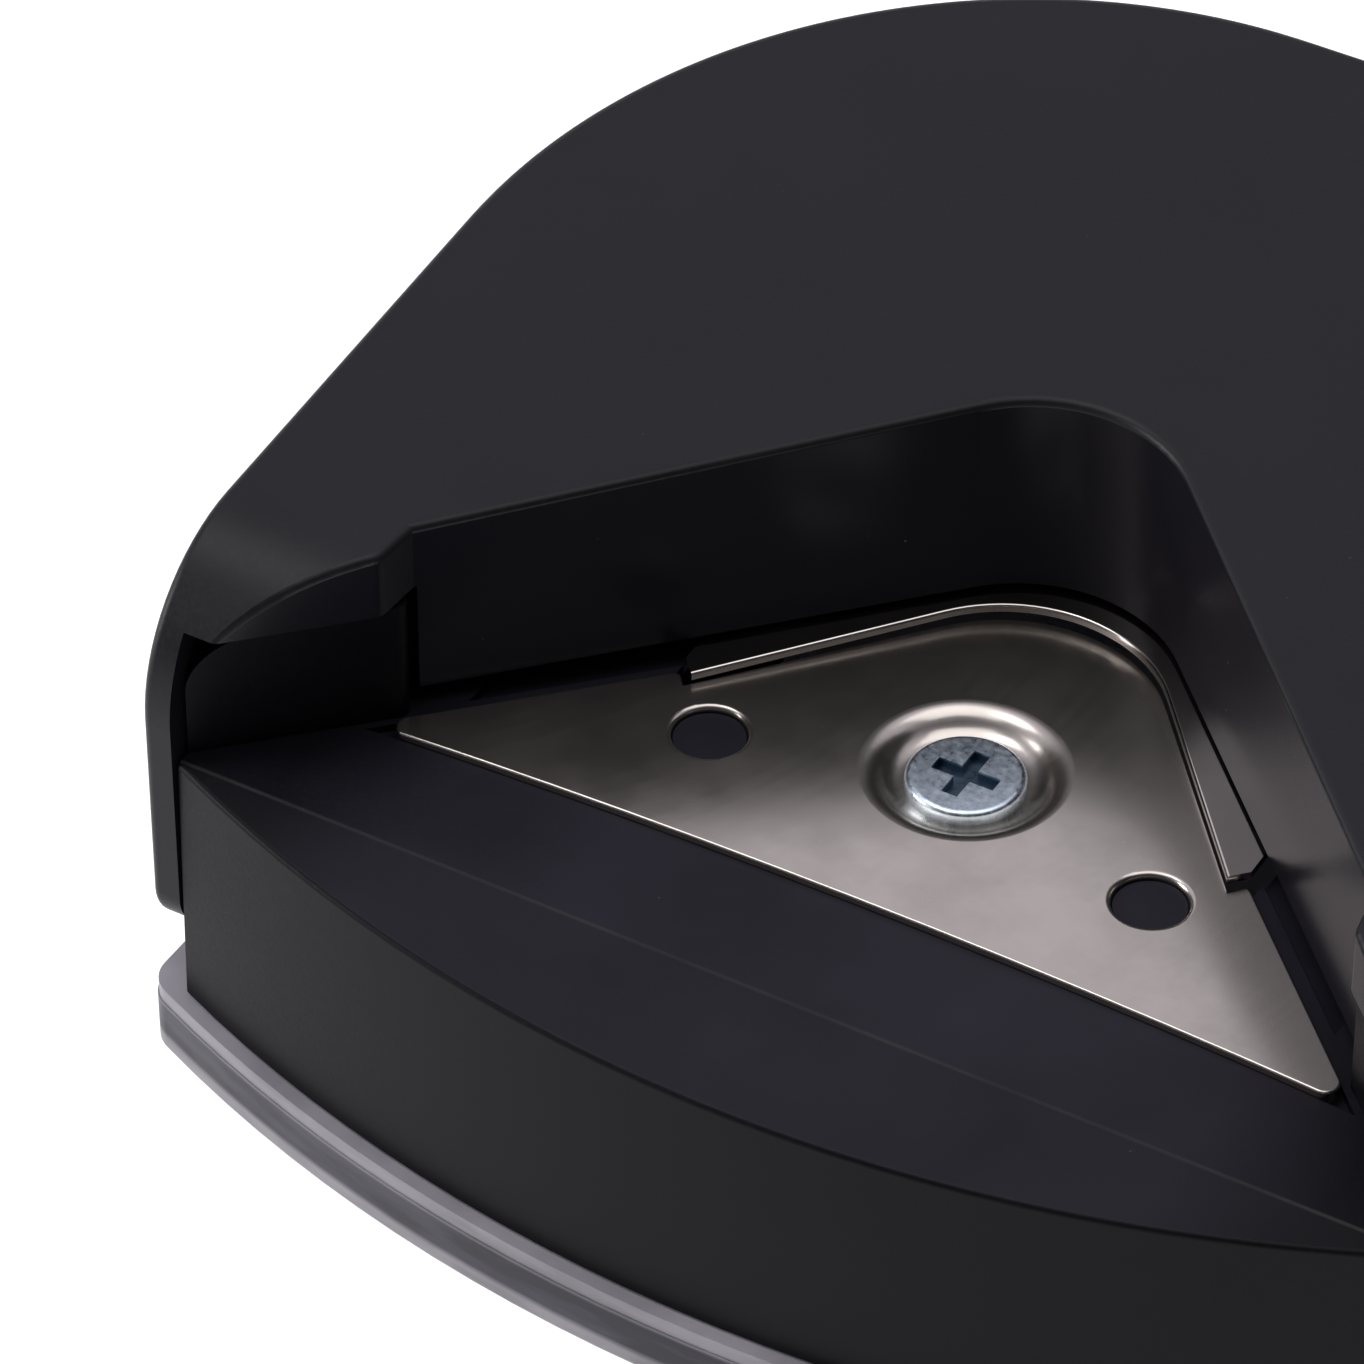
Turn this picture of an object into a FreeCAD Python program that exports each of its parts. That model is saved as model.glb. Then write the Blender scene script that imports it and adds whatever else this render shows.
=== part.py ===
"""Corner-rounding punch for paper and card.

Frame: +Z up, Z = 0 on the table, the paper goes in from the front (-Y), X across.
The origin is at the middle of the bottom of the whole punch. Sizes are in millimetres.
The lever hinges at the two front corners and is pressed at the back, which drives the
cutter down past the edge of the cutting plate.
"""
import FreeCAD, Part
import math
import os
import re

import Sketcher

# Driving dimensions. Offsets named *_in are measured towards the front from the sharp
# corner where the two paper edges meet, those named *_out towards the back.
SIZES = {
    # levels
    "base_low": 4.0,
    "deck_top": 18.0,
    "deck_thick": 2.4,
    "plate_top": 18.4,
    "plate_thick": 0.8,
    # base outline
    "corner_y": 6.7,
    "base_half": 31.7,
    "base_wall": 1.8,
    "front_end_y": -25.9,
    "front_round": 82.3,
    "front_flare": 0.3,
    "flare_round": 80.0,
    "base_rear_y": 2.55,
    "base_rear_round": 27.7,
    "crease_in": 32.3,
    "bevel_slope": 10.0,
    "bevel_reach": 12.0,
    "front_edge": 0.28,
    "end_lean": 0.68,
    "skirt_low": 8.4,
    # fence blocks that the paper edges rest against
    "fence_inner": 24.2,
    "fence_deep": 1.7,
    "fence_top": 24.6,
    "fence_round": 3.0,
    "fence_edge": 0.6,
    "wing_deep": 5.3,
    "relief_out": 0.5,
    "relief_back": 4.1,
    "relief_half": 22.5,
    "relief_deep": 0.5,
    # cutting contour: an arc with straight arms at contour_angle to the X axis
    "contour_round": 7.6,
    "contour_in": 3.66,
    "contour_angle": 50.0,
    # cutting plate
    "side_in": 0.62,
    "notch_half": 14.9,
    "notch_step": 0.7,
    "tip_half": 25.43,
    "plate_front_round": 380.0,
    "tip_round": 0.7,
    "notch_round": 0.35,
    "plate_edge": 0.12,
    "stud_hole_half": 11.5,
    "stud_hole_in": 18.6,
    "stud_hole_r": 1.8,
    "stud_hole_lead": 0.25,
    "stud_r": 1.72,
    "stud_drop": 0.35,
    "screw_in": 14.93,
    "screw_hole_r": 1.6,
    "dimple_rim": 5.0,
    "dimple_run": 1.05,
    "dimple_drop": 0.475,
    "screw_boss_r": 3.6,
    "recess_gap": 0.06,
    # well that the cutter and the chips drop into
    "well_half": 15.2,
    "well_gap": 0.35,
    "rib_wall": 1.8,
    # hinge
    "hinge_in": 26.0,
    "hinge_z": 14.4,
    "pin_r": 1.5,
    "pin_end": 33.25,
    "pin_start": 26.8,
    "pin_gap": 0.05,
    "hinge_boss_half": 3.2,
    "hinge_boss_start": 26.3,
    "hinge_boss_low": 10.8,
    # screws
    "head_r": 2.85,
    "head_top_drop": 0.25,
    "head_round": 0.3,
    "recess_deep": 0.5,
    "recess_span": 1.62,
    "recess_wing": 0.42,
    "shank_r": 1.3,
    "small_head_r": 1.9,
    "small_head": 1.0,
    "small_shank_r": 0.95,
    # inner frame and its screws
    "frame_low": 9.4,
    "frame_thick": 1.5,
    "frame_half": 29.2,
    "frame_round": 25.2,
    "frame_front_y": -1.0,
    "chip_gate_half": 15.5,
    "chip_gate_y": 12.6,
    "side_boss_half": 27.0,
    "side_boss_y": 3.2,
    "rear_boss_half": 23.6,
    "rear_boss_y": 14.7,
    "boss_r": 3.2,
    "boss_top": 16.4,
    # guide posts, bushes and springs
    "post_half": 11.5,
    "post_out": 10.5,
    "post_r": 2.0,
    "post_top": 24.6,
    "bush_r": 3.0,
    "bush_gap": 0.05,
    "spring_r": 2.95,
    "wire_r": 0.3,
    "spring_turns": 3.5,
    "spring_gap": 0.03,
    "clip_low": 23.0,
    "clip_thick": 0.5,
    "clip_r": 3.5,
    "clip_groove": 0.35,
    # cutter: blade and carrier
    "blade_gap": 0.45,
    "blade_thick": 0.42,
    "blade_edge": 0.14,
    "blade_tilt": 1.4,
    "blade_clear": 0.08,
    "blade_half": 14.8,
    "arm_half": 14.0,
    "arm_end": 0.83,
    "blade_rear_out": 4.3,
    "carrier_front_out": 0.9,
    "carrier_rear_out": 16.0,
    "carrier_half": 15.9,
    "carrier_top": 22.3,
    "carrier_boss_r": 4.2,
    "carrier_boss_low": 17.2,
    "carrier_boss_top": 22.8,
    "push_out": 3.0,
    "push_r": 1.7,
    "push_top": 23.6,
    "push_half": 5.0,
    "blade_screw_half": 8.5,
    "blade_screw_out": 2.2,
    # pressure plate under the lever's roof
    "press_low": 23.7,
    "press_thick": 1.0,
    "press_half": 14.0,
    "press_front_out": 0.7,
    "press_rear_out": 5.1,
    "press_screw_half": 11.0,
    "press_screw_out": 2.9,
    "press_boss_r": 2.6,
    "press_boss_top": 30.1,
    # lever cover
    "lever_half": 33.5,
    "lever_wall": 1.6,
    "lever_rear_y": 3.05,
    "lever_rear_round": 29.5,
    "leg_rear_in": 21.0,
    "leg_low": 7.4,
    "leg_round": 2.2,
    "nose_in": 24.3,
    "nose_round": 8.5,
    "roof_slope": 5.3,
    "roof_z": 28.5,
    "skirt_front_z": 15.4,
    "skirt_rear_z": 13.4,
    "wall_out": 0.95,
    "wall_round": 7.6,
    "wall_gap": 0.3,
    "hood_in": 1.05,
    "hood_half": 24.7,
    "hood_step_half": 24.4,
    "hood_low": 24.85,
    "hood_relief": 6.0,
    "wall_end": 24.3,
    "hood_round": 0.8,
    "roof_round": 0.5,
    "vee_round": 0.4,
    "catch_half": 3.5,
    "catch_low": 13.4,
    "catch_high": 1.6,
    "catch_reach": 1.6,
    "window_half": 4.0,
    "window_low": 7.3,
    "window_top": 15.3,
    # chip tray
    "tray_floor": 1.1,
    "tray_step_z": 3.0,
    "tray_top": 3.85,
    "tray_step": 0.06,
    "tray_half": 33.9,
    "tray_end_y": -26.1,
    "tray_front_round": 81.35,
    "tray_rear_y": 3.5,
    "tray_rear_round": 30.0,
    "tray_corner": 1.8,
    "tray_wall": 1.2,
    "tray_foot_edge": 0.35,
    "rim_gap": 0.15,
    "rim_top": 7.0,
    "channel_top": 2.6,
    # how far cuts run past the material
    "past": 60.0,
}

doc = FreeCAD.newDocument("corner_punch")
sheet = doc.addObject("Spreadsheet::Sheet", "Sizes")
for row, (alias, number) in enumerate(SIZES.items(), start=1):
    sheet.set(f"A{row}", alias)
    sheet.set(f"B{row}", str(number))
    sheet.setAlias(f"B{row}", alias)
doc.recompute()

SUB_PARTS = []
Vector = FreeCAD.Vector


# ---------------------------------------------------------------- expressions
def bound(text):
    """The expression with every size spelled as a cell of the sheet."""
    return re.sub(r"[a-z_]+", lambda m: f"Sizes.{m.group()}" if m.group() in SIZES else m.group(), str(text))


def value(text):
    """The number that the expression gives at the sheet's present sizes."""
    return float(sheet.evalExpression(bound(text)))


def bind(thing, prop, text):
    thing.setExpression(prop, bound(text))


# ---------------------------------------------------------------- documents and sketches
def new_body(label):
    body = doc.addObject("PartDesign::Body", label)
    body.AllowCompound = True
    SUB_PARTS.append(body)
    return body


def new_sketch(body, plane="XY", lift="0"):
    """A sketch on one of the body's origin planes, lifted along that plane's normal."""
    sketch = body.newObject("Sketcher::SketchObject", "Sketch")
    support = next(f for f in body.Origin.OriginFeatures if f.Role == f"{plane}_Plane")
    sketch.AttachmentSupport = [(support, "")]
    sketch.MapMode = "FlatFace"
    bind(sketch, "AttachmentOffset.Base.z", lift)
    return sketch


def arc_through(start, end, radius, turn):
    """The shorter arc from start to end that turns left or right."""
    chord = end - start
    middle = (start + end) / 2
    sagitta = radius - math.sqrt(max(radius**2 - (chord.Length / 2) ** 2, 0.0))
    left = Vector(-chord.y, chord.x, 0).normalize()
    side = -1 if turn == "left" else 1
    return Part.Arc(start, middle + left * (side * sagitta), end)


def pin_point(sketch, geometry, position, x_text, y_text):
    """Hold a point of the sketch at a place given by two expressions."""
    for kind, text in (("DistanceX", x_text), ("DistanceY", y_text)):
        index = sketch.addConstraint(Sketcher.Constraint(kind, -1, 1, geometry, position, value(text)))
        bind(sketch, f"Constraints[{index}]", text)


def draw(sketch, *steps):
    """Draw one closed outline. A step is (x, y) for a straight run to that point, or
    (x, y, radius, turn) for an arc to it. The outline starts at the last point."""
    points = [Vector(value(step[0]), value(step[1]), 0) for step in steps]
    first = sketch.GeometryCount
    ends = []
    for number, step in enumerate(steps):
        start, end = points[number - 1], points[number]
        if len(step) == 2:
            sketch.addGeometry(Part.LineSegment(start, end), False)
            ends.append((1, 2))
            continue
        radius, turn = step[2:]
        geometry = sketch.addGeometry(arc_through(start, end, value(radius), turn), False)
        index = sketch.addConstraint(Sketcher.Constraint("Radius", geometry, value(radius)))
        bind(sketch, f"Constraints[{index}]", radius)
        ends.append((1, 2) if turn == "left" else (2, 1))
    for number, step in enumerate(steps):
        following = (number + 1) % len(steps)
        here, there = first + number, first + following
        sketch.addConstraint(Sketcher.Constraint("Coincident", here, ends[number][1], there, ends[following][0]))
        pin_point(sketch, here, ends[number][1], step[0], step[1])


def draw_circle(sketch, x_text, y_text, radius):
    circle = Part.Circle(Vector(value(x_text), value(y_text), 0), Vector(0, 0, 1), value(radius))
    geometry = sketch.addGeometry(circle, False)
    index = sketch.addConstraint(Sketcher.Constraint("Radius", geometry, value(radius)))
    bind(sketch, f"Constraints[{index}]", radius)
    pin_point(sketch, geometry, 3, x_text, y_text)


def draw_box(sketch, x_low, y_low, x_high, y_high):
    draw(sketch, (x_low, y_low), (x_high, y_low), (x_high, y_high), (x_low, y_high))


# ---------------------------------------------------------------- features
def pad(body, sketch, length, midplane=False, reverse=False):
    feature = body.newObject("PartDesign::Pad", "Pad")
    feature.Profile = sketch
    feature.Midplane = midplane
    feature.Reversed = reverse
    bind(feature, "Length", length)
    doc.recompute()
    return feature


def pocket(body, sketch, length, midplane=False, up=False, taper=None):
    """Cut along the sketch's normal reversed, or along it when up is set."""
    before = body.Shape.Volume
    feature = body.newObject("PartDesign::Pocket", "Pocket")
    feature.Profile = sketch
    feature.Midplane = midplane
    feature.Reversed = up
    bind(feature, "Length", length)
    if taper:
        bind(feature, "TaperAngle", taper)
    doc.recompute()
    if body.Shape.Volume > before - 1e-3:
        raise RuntimeError(f"{body.Label}: a pocket cuts nothing")
    return feature


def revolve(body, sketch, axis="Z"):
    feature = body.newObject("PartDesign::Revolution", "Revolution")
    feature.Profile = sketch
    feature.ReferenceAxis = (next(f for f in body.Origin.OriginFeatures if f.Role == f"{axis}_Axis"), [""])
    doc.recompute()
    return feature


def dress(body, kind, size_prop, size, wanted):
    """Fillet or chamfer the edges of the body's shape that the test picks out."""
    base = body.Tip
    names = [f"Edge{n}" for n, edge in enumerate(base.Shape.Edges, start=1) if wanted(edge)]
    if not names:
        raise RuntimeError(f"{body.Label}: no edge to {kind.lower()}")
    feature = body.newObject(f"PartDesign::{kind}", kind)
    feature.Base = (base, names)
    bind(feature, size_prop, size)
    doc.recompute()
    return feature


def fillet(body, radius, wanted):
    return dress(body, "Fillet", "Radius", radius, wanted)


def is_upright(edge):
    """True for an edge parallel to Z."""
    box = edge.BoundBox
    return box.ZLength > 1e-3 and box.XLength < 1e-3 and box.YLength < 1e-3


def is_level_at(edge, height):
    """True for an edge that lies in the horizontal plane at that height."""
    box = edge.BoundBox
    return box.ZLength < 1e-3 and abs(box.ZMin - height) < 1e-3


def near(edge, x, y, reach=0.4):
    """True for an edge whose middle is at (+-x, y) in plan."""
    middle = edge.BoundBox.Center
    return abs(abs(middle.x) - x) < reach and abs(middle.y - y) < reach


# ---------------------------------------------------------------- shared outlines
def rear_outline(half, rear_y, rear_round):
    """From the end of the right side round the back: a large arc at each corner."""
    flat = f"({half} - ({rear_round}))"
    back_y = f"{rear_y} + {rear_round}"
    return [
        (half, rear_y),
        (flat, back_y, rear_round, "left"),
        (f"-{flat}", back_y),
        (f"-({half})", rear_y, rear_round, "left"),
    ]


def rounded_outline(half, end_y, front_round, rear_y, rear_round):
    """Straight sides, a shallow arc across the front and a rounded back."""
    front = [(f"-({half})", end_y), (half, end_y, front_round, "left")]
    return front + rear_outline(half, rear_y, rear_round)


def inner_outline(inset):
    """The base's outline moved inwards; end_lean is how far its front corners go back."""
    half = f"base_half - {inset}"
    end_y = f"front_end_y + {inset} * end_lean"
    return rounded_outline(half, end_y, f"front_round - {inset}", "base_rear_y", f"base_rear_round - {inset}")


CONTOUR_CENTRE = "corner_y - contour_in - contour_round"


def contour_point(offset, half, side):
    """A point on a straight arm of the cutting contour, moved out by offset."""
    reach = f"(contour_round + {offset})"
    y_text = (
        f"{CONTOUR_CENTRE} + {reach} * cos(contour_angle)"
        f" - ({half} - {reach} * sin(contour_angle)) * tan(contour_angle)"
    )
    return f"{side} * ({half})", y_text


def contour_tangent(offset, side):
    """Where an arm of the cutting contour meets its arc."""
    reach = f"(contour_round + {offset})"
    return f"{side} * {reach} * sin(contour_angle)", f"{CONTOUR_CENTRE} + {reach} * cos(contour_angle)"


def blade_plane(y_text):
    """Height of the blade's lower face at y."""
    return f"(plate_top + blade_gap + (({y_text}) - (corner_y - contour_in)) * tan(blade_tilt))"


# ---------------------------------------------------------------- base
def base_housing():
    body = new_body("base_housing")
    low = new_sketch(body, lift="base_low")
    rear = ("base_rear_y", "base_rear_round")
    draw(low, *rounded_outline("base_half", "front_end_y - front_flare", "flare_round", *rear))
    high = new_sketch(body, lift="deck_top")
    draw(high, *rounded_outline("base_half", "front_end_y", "front_round", *rear))
    doc.recompute()
    block = body.newObject("PartDesign::AdditiveLoft", "Block")
    block.Profile = low
    block.Sections = [high]
    block.Ruled = True
    doc.recompute()

    fences = new_sketch(body, lift="deck_top - 1")
    for side in (-1, 1):
        draw(
            fences,
            (f"{side} * fence_inner", "corner_y - fence_inner"),
            (f"{side} * base_half", "corner_y - base_half"),
            (f"{side} * base_half", "corner_y - base_half + 2 * fence_deep"),
            (f"{side} * (fence_inner + fence_deep)", "corner_y - fence_inner + fence_deep"),
        )
    pad(body, fences, "fence_top - deck_top + 1")

    bevel = new_sketch(body, "YZ")
    draw(
        bevel,
        ("corner_y - crease_in", "deck_top"),
        ("corner_y - crease_in - bevel_reach", "deck_top"),
        ("corner_y - crease_in - bevel_reach", "deck_top - bevel_reach * tan(bevel_slope)"),
    )
    pocket(body, bevel, "2 * past", midplane=True)

    skirt = new_sketch(body, lift="base_low")
    draw(skirt, *inner_outline("base_wall"))
    pocket(body, skirt, "skirt_low - base_low", up=True)

    well = new_sketch(body, lift="deck_top")
    inner = "(base_half - base_wall)"
    draw(
        well,
        (f"-{inner}", f"corner_y - {inner} + wing_deep"),
        ("-well_half", "corner_y - well_half + wing_deep"),
        contour_point("-well_gap", "well_half", -1),
        contour_tangent("-well_gap", -1),
        (*contour_tangent("-well_gap", 1), "contour_round - well_gap", "right"),
        contour_point("-well_gap", "well_half", 1),
        ("well_half", "corner_y - well_half + wing_deep"),
        (inner, f"corner_y - {inner} + wing_deep"),
        *rear_outline(inner, "base_rear_y", "(base_rear_round - base_wall)"),
    )
    pocket(body, well, "deck_top")

    hollow = new_sketch(body, lift="skirt_low")
    wall_half = "(well_half + rib_wall)"
    back = "wing_deep - 1.414 * rib_wall"
    front = inner_outline("base_wall")
    draw(
        hollow,
        front[0],
        front[1],
        (inner, f"corner_y - {inner} + {back}"),
        (wall_half, f"corner_y - {wall_half} + {back}"),
        contour_point("-well_gap - rib_wall", wall_half, 1),
        contour_tangent("-well_gap - rib_wall", 1),
        (*contour_tangent("-well_gap - rib_wall", -1), "contour_round - well_gap - rib_wall", "left"),
        contour_point("-well_gap - rib_wall", wall_half, -1),
        (f"-{wall_half}", f"corner_y - {wall_half} + {back}"),
        (f"-{inner}", f"corner_y - {inner} + {back}"),
    )
    pocket(body, hollow, "deck_top - deck_thick - skirt_low", up=True)

    wall_relief = new_sketch(body, lift="deck_top")
    inner_x, outer_x = "(well_half - 1)", "relief_half"
    for side in (-1, 1):
        draw(
            wall_relief,
            (f"{side} * {inner_x}", f"corner_y - {inner_x} + relief_out"),
            (f"{side} * {outer_x}", f"corner_y - {outer_x} + relief_out"),
            (f"{side} * {outer_x}", f"corner_y - {outer_x} + relief_back"),
            (f"{side} * {inner_x}", f"corner_y - {inner_x} + relief_back"),
        )
    pocket(body, wall_relief, "relief_deep")

    recess = new_sketch(body, lift="deck_top")
    tip_x = "(tip_half + 2.41421 * recess_gap)"
    tip_y = "corner_y - tip_half - side_in - recess_gap"
    draw(
        recess,
        (f"-{tip_x}", tip_y),
        (tip_x, tip_y, "plate_front_round", "right"),
        ("notch_half + recess_gap", "corner_y - notch_half - side_in + 0.41421 * recess_gap"),
        ("notch_half + recess_gap", "corner_y"),
        ("-notch_half - recess_gap", "corner_y"),
        ("-notch_half - recess_gap", "corner_y - notch_half - side_in + 0.41421 * recess_gap"),
    )
    pocket(body, recess, "deck_top - plate_top + plate_thick")

    screw_boss = new_sketch(body, lift="skirt_low")
    draw_circle(screw_boss, "0", "corner_y - screw_in", "screw_boss_r")
    pad(body, screw_boss, "deck_top - deck_thick - skirt_low + 0.5")
    dimple_room = new_sketch(body, lift="plate_top - plate_thick")
    draw_circle(dimple_room, "0", "corner_y - screw_in", "dimple_rim + 0.3")
    pocket(body, dimple_room, "2 * dimple_drop + 0.1")
    pilot = new_sketch(body, lift="plate_top")
    draw_circle(pilot, "0", "corner_y - screw_in", "shank_r")
    pocket(body, pilot, "plate_top - skirt_low - 1")

    studs = new_sketch(body, lift="plate_top - plate_thick - 0.5")
    for side in (-1, 1):
        draw_circle(studs, f"{side} * stud_hole_half", "corner_y - stud_hole_in", "stud_r")
    pad(body, studs, "plate_thick + 0.5 - stud_drop")

    hinge_bosses = new_sketch(body, lift="hinge_boss_low")
    for side in (-1, 1):
        draw_box(
            hinge_bosses,
            f"{side} * hinge_boss_start",
            "corner_y - hinge_in - hinge_boss_half",
            f"{side} * (base_half - 0.5)",
            "corner_y - hinge_in + hinge_boss_half",
        )
    pad(body, hinge_bosses, "deck_top - 0.5 - hinge_boss_low")
    hinge_bores = new_sketch(body, "YZ")
    draw_circle(hinge_bores, "corner_y - hinge_in", "hinge_z", "pin_r")
    pocket(body, hinge_bores, "2 * past", midplane=True)

    frame_bosses = new_sketch(body, lift="frame_low + frame_thick")
    frame_pilots = new_sketch(body, lift="frame_low")
    for x_text, y_text in FRAME_SCREWS:
        draw_circle(frame_bosses, x_text, y_text, "boss_r")
        draw_circle(frame_pilots, x_text, y_text, "small_shank_r")
    pad(body, frame_bosses, "boss_top - frame_low - frame_thick")
    pocket(body, frame_pilots, "boss_top - frame_low - 1", up=True)

    window = new_sketch(body, "XZ", lift="-base_rear_y - base_rear_round - 2")
    draw_box(window, "-window_half", "window_low", "window_half", "window_top")
    pocket(body, window, "base_wall + 4", up=True)

    def front_rim(edge):
        box = edge.BoundBox
        return box.XLength > SIZES["base_half"] and box.YLength > 5 and box.ZMin > SIZES["hinge_z"] and box.ZLength > 1

    fillet(body, "front_edge", front_rim)
    fence_end = SIZES["fence_top"]
    fillet(
        body,
        "fence_round",
        lambda edge: is_level_at(edge, fence_end) and abs(abs(edge.BoundBox.Center.x) - SIZES["base_half"]) < 1e-3,
    )
    fillet(
        body,
        "fence_edge",
        lambda edge: is_upright(edge)
        and edge.BoundBox.ZMin > SIZES["deck_top"] - 1e-3
        and near(edge, SIZES["fence_inner"], SIZES["corner_y"] - SIZES["fence_inner"]),
    )
    return body


FRAME_SCREWS = [(f"{side} * side_boss_half", "side_boss_y") for side in (-1, 1)]
FRAME_SCREWS += [(f"{side} * rear_boss_half", "rear_boss_y") for side in (-1, 1)]


def cutting_plate():
    """Stainless plate: paper rests on it, its curved rear edge is the lower cutting edge."""
    body = new_body("cutting_plate")
    flat = new_sketch(body, lift="plate_top - plate_thick")
    tip_y = "corner_y - tip_half - side_in"
    notch = "(notch_half - notch_step)"
    draw(
        flat,
        ("-tip_half", tip_y),
        ("tip_half", tip_y, "plate_front_round", "right"),
        ("notch_half", "corner_y - notch_half - side_in"),
        contour_point("0", notch, 1),
        contour_tangent("0", 1),
        (*contour_tangent("0", -1), "contour_round", "left"),
        contour_point("0", notch, -1),
        ("-notch_half", "corner_y - notch_half - side_in"),
    )
    draw_circle(flat, "0", "corner_y - screw_in", "dimple_rim")
    for side in (-1, 1):
        draw_circle(flat, f"{side} * stud_hole_half", "corner_y - stud_hole_in", "stud_hole_r")
    pad(body, flat, "plate_thick")

    tip_y_now = value(tip_y)
    notch_y = SIZES["corner_y"] - SIZES["notch_half"] - SIZES["side_in"]
    fillet(body, "tip_round", lambda edge: is_upright(edge) and near(edge, SIZES["tip_half"], tip_y_now))
    fillet(body, "notch_round", lambda edge: is_upright(edge) and near(edge, SIZES["notch_half"], notch_y))

    dish = doc.addObject("PartDesign::Body", "plate_dimple")
    section = new_sketch(dish, "XZ")
    bend = "((dimple_run ^ 2 + dimple_drop ^ 2) / (2 * dimple_drop))"
    lean = f"(dimple_run / {bend})"
    rise = f"(1 - dimple_drop / {bend})"
    mid_x = f"dimple_rim - ({bend} - plate_thick) * {lean}"
    mid_z = f"plate_top - {bend} + ({bend} - plate_thick) * {rise}"
    floor = "plate_top - 2 * dimple_drop"
    draw(
        section,
        ("dimple_rim", "plate_top"),
        ("dimple_rim - dimple_run", "plate_top - dimple_drop", bend, "left"),
        ("dimple_rim - 2 * dimple_run", floor, bend, "right"),
        ("screw_hole_r", floor),
        ("screw_hole_r", f"{floor} - plate_thick"),
        ("dimple_rim - 2 * dimple_run", f"{floor} - plate_thick"),
        (mid_x, mid_z, f"{bend} + plate_thick", "left"),
        ("dimple_rim", "plate_top - plate_thick", f"{bend} - plate_thick", "right"),
    )
    revolve(dish, section)
    bind(dish, "Placement.Base.y", "corner_y - screw_in")
    doc.recompute()
    join = body.newObject("PartDesign::Boolean", "Dimple")
    join.Type = "Fuse"
    join.setObjects([dish])
    doc.recompute()

    top = SIZES["plate_top"]
    fillet(
        body,
        "plate_edge",
        lambda edge: is_level_at(edge, top) and edge.BoundBox.YMax < notch_y + 0.1 and edge.Length > 15,
    )
    fillet(
        body,
        "stud_hole_lead",
        lambda edge: is_level_at(edge, top)
        and edge.Curve.TypeId == "Part::GeomCircle"
        and abs(edge.Curve.Radius - SIZES["stud_hole_r"]) < 1e-3,
    )
    return body


# ---------------------------------------------------------------- screws
def screw_section(body, radius, head_low, head_top, shank_radius, shank_low, edge):
    """Half section of a pan head on its shank, standing on the Z axis."""
    section = new_sketch(body, "XZ")
    draw(
        section,
        ("0", shank_low),
        (f"{shank_radius} - 0.4", shank_low),
        (shank_radius, f"{shank_low} + 0.6"),
        (shank_radius, head_low),
        (radius, head_low),
        (radius, f"{head_top} - {edge}"),
        (f"{radius} - {edge}", head_top, edge, "left"),
        ("0", head_top),
    )
    return section


def cross_recess(body, top, half_span, half_wing, depth, up=False):
    """Tapered cross recess for a screwdriver, cut down from the top of a head."""
    cross = new_sketch(body, lift=top)
    wing, span = half_wing, half_span
    draw(
        cross,
        (span, f"-{wing}"),
        (span, wing),
        (wing, wing),
        (wing, span),
        (f"-{wing}", span),
        (f"-{wing}", wing),
        (f"-{span}", wing),
        (f"-{span}", f"-{wing}"),
        (f"-{wing}", f"-{wing}"),
        (f"-{wing}", f"-{span}"),
        (wing, f"-{span}"),
        (wing, f"-{wing}"),
    )
    pocket(body, cross, depth, up=up)


def plate_screw():
    body = new_body("plate_screw")
    head_low = "(plate_top - 2 * dimple_drop)"
    head_top = "(plate_top - head_top_drop)"
    section = screw_section(body, "head_r", head_low, head_top, "shank_r", "skirt_low + 1.5", "head_round")
    revolve(body, section)
    cross_recess(body, head_top, "recess_span", "recess_wing", "recess_deep")
    bind(body, "Placement.Base.y", "corner_y - screw_in")
    doc.recompute()
    return body


def screw_group(label, places, head_low, shank_end, x_turn=None, rise="0"):
    """Small pan-head screws put in from below: head_low is the face of the heads and
    shank_end the upper end of the shanks."""
    group = []
    for number, (x_text, y_text) in enumerate(places):
        body = doc.addObject("PartDesign::Body", f"{label}_{number + 1}")
        body.AllowCompound = True
        section = new_sketch(body, "XZ")
        head_top = f"({head_low} + small_head)"
        draw(
            section,
            ("0", head_low),
            ("small_head_r - 0.3", head_low),
            ("small_head_r", f"{head_low} + 0.3", "0.3", "left"),
            ("small_head_r", head_top),
            ("small_shank_r", head_top),
            ("small_shank_r", shank_end),
            ("0", shank_end),
        )
        revolve(body, section)
        cross_recess(body, head_low, "1.05", "0.3", "0.5", up=True)
        bind(body, "Placement.Base.x", x_text)
        bind(body, "Placement.Base.y", y_text)
        bind(body, "Placement.Base.z", rise)
        if x_turn:
            body.Placement.Rotation = FreeCAD.Rotation(Vector(1, 0, 0), 1)
            bind(body, "Placement.Rotation.Angle", x_turn)
        group.append(body)
    doc.recompute()
    compound = doc.addObject("Part::Compound", label)
    compound.Links = group
    SUB_PARTS.append(compound)
    doc.recompute()
    return compound


# ---------------------------------------------------------------- inner frame, posts and springs
def inner_frame():
    """Steel plate across the back of the base that carries the guide posts."""
    body = new_body("inner_frame")
    plan = new_sketch(body, lift="frame_low")
    draw(
        plan,
        ("-frame_half", "frame_front_y"),
        ("-chip_gate_half", "frame_front_y"),
        ("-chip_gate_half", "chip_gate_y"),
        ("chip_gate_half", "chip_gate_y"),
        ("chip_gate_half", "frame_front_y"),
        ("frame_half", "frame_front_y"),
        *rear_outline("frame_half", "base_rear_y", "frame_round"),
    )
    for side in (-1, 1):
        draw_circle(plan, f"{side} * post_half", "corner_y + post_out", "post_r")
    for x_text, y_text in FRAME_SCREWS:
        draw_circle(plan, x_text, y_text, "small_shank_r + 0.15")
    pad(body, plan, "frame_thick")
    return body


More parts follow.
